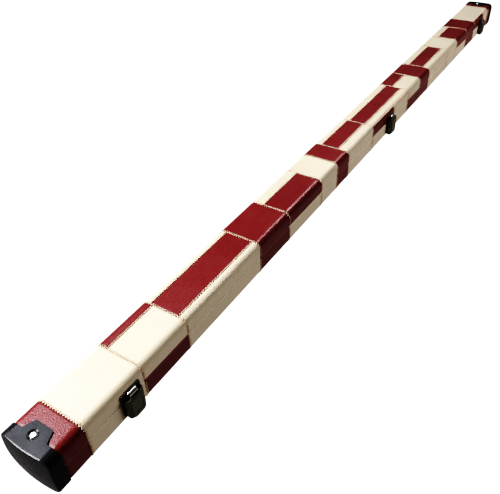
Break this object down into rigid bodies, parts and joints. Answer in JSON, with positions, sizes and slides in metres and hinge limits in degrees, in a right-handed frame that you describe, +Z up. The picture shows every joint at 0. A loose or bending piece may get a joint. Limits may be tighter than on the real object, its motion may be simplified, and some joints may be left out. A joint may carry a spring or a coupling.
{
  "type": "cue case",
  "caption": "Long hard case for a one-piece cue, covered in patchwork leather, with a hinged lid, end caps and draw latches.",
  "frame": {"origin": "bottom centre of the whole case, latches and hinges included; z = 0 is the plane the end caps rest on", "axes": "+X along the case from the near end to the far end, -Y the latch side, +Y the hinge side, +Z up"},
  "size_m": [1.533, 0.0798, 0.054],
  "materials": {
    "red_leather": "glossy pebbled leather, dark red",
    "cream_leather": "satin pebbled leather, cream",
    "black_plastic": "moulded, semi-gloss black",
    "wood_core": "raw pine board",
    "lip_board": "thin board, painted black",
    "plush_lining": "black short-pile plush over foam",
    "hinge_steel": "black enamelled steel",
    "pin_steel": "bright steel wire",
    "latch_black": "black enamelled pressed steel, semi-gloss",
    "latch_rivets": "black enamelled rivet heads",
    "nickel": "bright nickel plate"
  },
  "bodies": {
    "base": {"base_front_rail": "wood_core", "base_back_rail": "wood_core", "base_bottom_board": "wood_core", "base_end_blocks": "wood_core", "base_red_patches": "red_leather", "base_cream_patches": "cream_leather", "near_base_cap": "black_plastic", "far_base_cap": "black_plastic", "base_cap_rivets": "nickel", "front_locating_lip": "lip_board", "back_locating_lip": "lip_board", "front_bolster": "plush_lining", "back_bolster": "plush_lining", "channel_floor_pad": "plush_lining", "end_buffers": "plush_lining", "hinge_base_leaves": "hinge_steel", "hinge_pins": "hinge_steel", "hinge_base_rivets": "hinge_steel", "latch_plate_rivets": "latch_rivets", "near_latch_plate": "latch_black", "near_lever_pin": "pin_steel", "middle_latch_plate": "latch_black", "middle_lever_pin": "pin_steel", "far_latch_plate": "latch_black", "far_lever_pin": "pin_steel"},
    "lid": {"lid_front_rail": "wood_core", "lid_back_rail": "wood_core", "lid_top_board": "wood_core", "lid_end_blocks": "wood_core", "lid_red_patches": "red_leather", "lid_cream_patches": "cream_leather", "near_lid_cap": "black_plastic", "far_lid_cap": "black_plastic", "lid_cap_rivets": "nickel", "lid_pad": "plush_lining", "hinge_lid_leaves": "hinge_steel", "hinge_lid_rivets": "hinge_steel", "strike_rivets": "latch_rivets", "near_latch_strike": "latch_black", "middle_latch_strike": "latch_black", "far_latch_strike": "latch_black"},
    "near_lever": {"near_latch_lever": "latch_black", "near_hook_pin": "pin_steel"},
    "near_hook": {"near_latch_hook": "nickel"},
    "middle_lever": {"middle_latch_lever": "latch_black", "middle_hook_pin": "pin_steel"},
    "middle_hook": {"middle_latch_hook": "nickel"},
    "far_lever": {"far_latch_lever": "latch_black", "far_hook_pin": "pin_steel"},
    "far_hook": {"far_latch_hook": "nickel"}
  },
  "joints": [
    {"name": "lid_hinge", "type": "hinge", "parent": "base", "child": "lid", "pos_m": [0, 0.0375, 0.0305], "axis": [-1, 0, 0], "range_deg": [0, 180]},
    {"name": "near_lever_pivot", "type": "hinge", "parent": "base", "child": "near_lever", "pos_m": [-0.6591, -0.0339, 0.0092], "axis": [1, 0, 0], "range_deg": [0, 90]},
    {"name": "near_hook_pivot", "type": "hinge", "parent": "near_lever", "child": "near_hook", "pos_m": [-0.6591, -0.0354, 0.02], "axis": [-1, 0, 0], "range_deg": [0, 45]},
    {"name": "middle_lever_pivot", "type": "hinge", "parent": "base", "child": "middle_lever", "pos_m": [0.0435, -0.0339, 0.0092], "axis": [1, 0, 0], "range_deg": [0, 90]},
    {"name": "middle_hook_pivot", "type": "hinge", "parent": "middle_lever", "child": "middle_hook", "pos_m": [0.0435, -0.0354, 0.02], "axis": [-1, 0, 0], "range_deg": [0, 45]},
    {"name": "far_lever_pivot", "type": "hinge", "parent": "base", "child": "far_lever", "pos_m": [0.659, -0.0339, 0.0092], "axis": [1, 0, 0], "range_deg": [0, 90]},
    {"name": "far_hook_pivot", "type": "hinge", "parent": "far_lever", "child": "far_hook", "pos_m": [0.659, -0.0354, 0.02], "axis": [-1, 0, 0], "range_deg": [0, 45]}
  ],
  "couplings": [
    {"joint": "near_hook_pivot", "follows": "near_lever_pivot", "ratio": 0.5},
    {"joint": "middle_hook_pivot", "follows": "middle_lever_pivot", "ratio": 0.5},
    {"joint": "far_hook_pivot", "follows": "far_lever_pivot", "ratio": 0.5}
  ]
}
